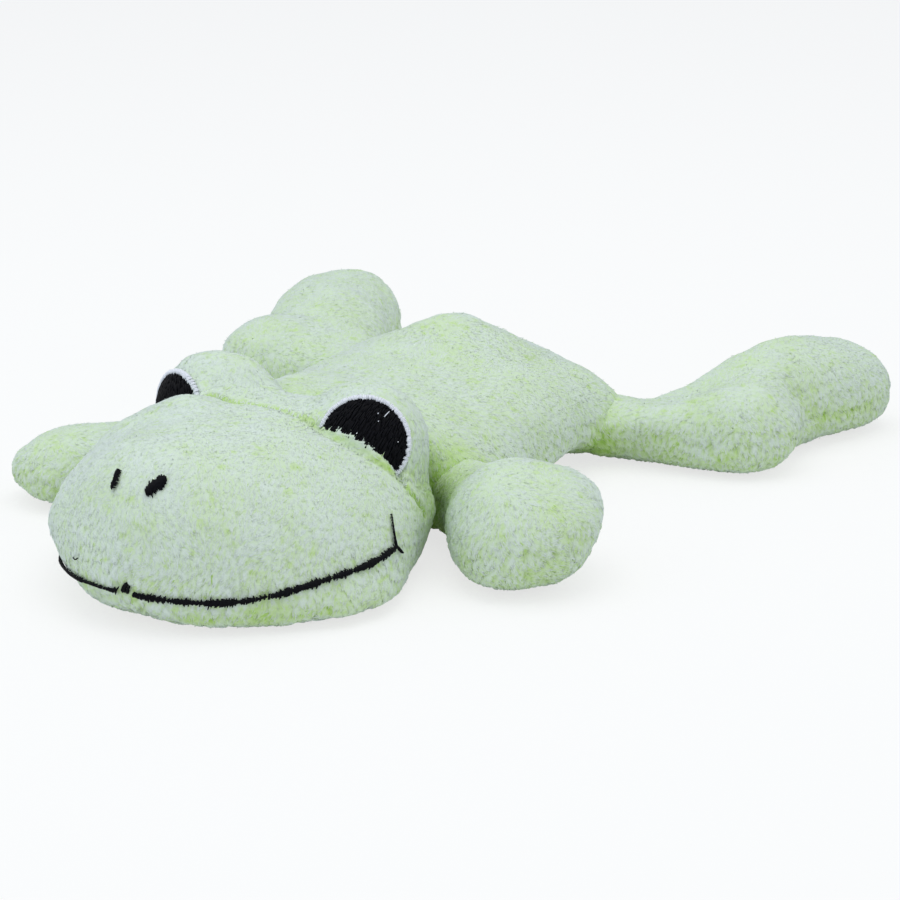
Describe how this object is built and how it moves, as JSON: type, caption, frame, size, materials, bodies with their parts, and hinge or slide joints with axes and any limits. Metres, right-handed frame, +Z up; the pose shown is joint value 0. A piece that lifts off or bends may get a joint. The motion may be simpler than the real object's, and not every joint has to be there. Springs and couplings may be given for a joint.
{
  "type": "plush frog",
  "caption": "Floppy plush frog toy lying on its belly, with a broad stuffed head, domed stitched eyes, a stitched smile, and soft arms and two-lobed legs spread out.",
  "frame": {"origin": "middle of the flat rest face under the belly", "axes": "+Z up, -Y the way the frog faces, +X the frog's left side"},
  "size_m": [0.2419, 0.3082, 0.0564],
  "materials": {
    "plush": "short pile plush, pale lime with darker yellow-green roots",
    "black_satin": "black satin stitch",
    "white_satin": "white satin stitch",
    "stuffing": "loose white fibre",
    "pellet_bag": "plain woven bag of plastic pellets"
  },
  "bodies": {
    "body": {"body_back_panel": "plush", "body_belly_panel": "plush", "body_stuffing": "stuffing", "belly_pellet_bag": "pellet_bag"},
    "head": {"head_crown_panel": "plush", "head_muzzle_panel": "plush", "head_chin_panel": "plush", "head_stuffing": "stuffing", "mouth_stitch": "black_satin", "eye_pupil_left": "black_satin", "eye_rim_left": "white_satin", "nostril_left": "black_satin", "eye_pupil_right": "black_satin", "eye_rim_right": "white_satin", "nostril_right": "black_satin"},
    "arm_left": {"arm_top_panel_left": "plush", "arm_under_panel_left": "plush", "arm_stuffing_left": "stuffing", "hand_pellet_bag_left": "pellet_bag"},
    "leg_left": {"leg_top_panel_left": "plush", "leg_under_panel_left": "plush", "leg_stuffing_left": "stuffing", "foot_pellet_bag_left": "pellet_bag"},
    "arm_right": {"arm_top_panel_right": "plush", "arm_under_panel_right": "plush", "arm_stuffing_right": "stuffing", "hand_pellet_bag_right": "pellet_bag"},
    "leg_right": {"leg_top_panel_right": "plush", "leg_under_panel_right": "plush", "leg_stuffing_right": "stuffing", "foot_pellet_bag_right": "pellet_bag"}
  },
  "joints": [
    {"name": "neck_lift", "type": "hinge", "parent": "body", "child": "head", "pos_m": [0, -0.0505, 0.037], "axis": [-1, 0, 0], "range_deg": [-10, 20]},
    {"name": "left_shoulder_lift", "type": "hinge", "parent": "body", "child": "arm_left", "pos_m": [0.0495, -0.03, 0.016], "axis": [-0.5807, -0.8141, 0], "range_deg": [-30, 50]},
    {"name": "right_shoulder_lift", "type": "hinge", "parent": "body", "child": "arm_right", "pos_m": [-0.0495, -0.03, 0.016], "axis": [-0.5807, 0.8141, 0], "range_deg": [-30, 50]},
    {"name": "left_hip_lift", "type": "hinge", "parent": "body", "child": "leg_left", "pos_m": [0.05, 0.069, 0.016], "axis": [0, -1, 0], "range_deg": [-30, 50]},
    {"name": "right_hip_lift", "type": "hinge", "parent": "body", "child": "leg_right", "pos_m": [-0.05, 0.069, 0.016], "axis": [0, 1, 0], "range_deg": [-30, 50]}
  ]
}
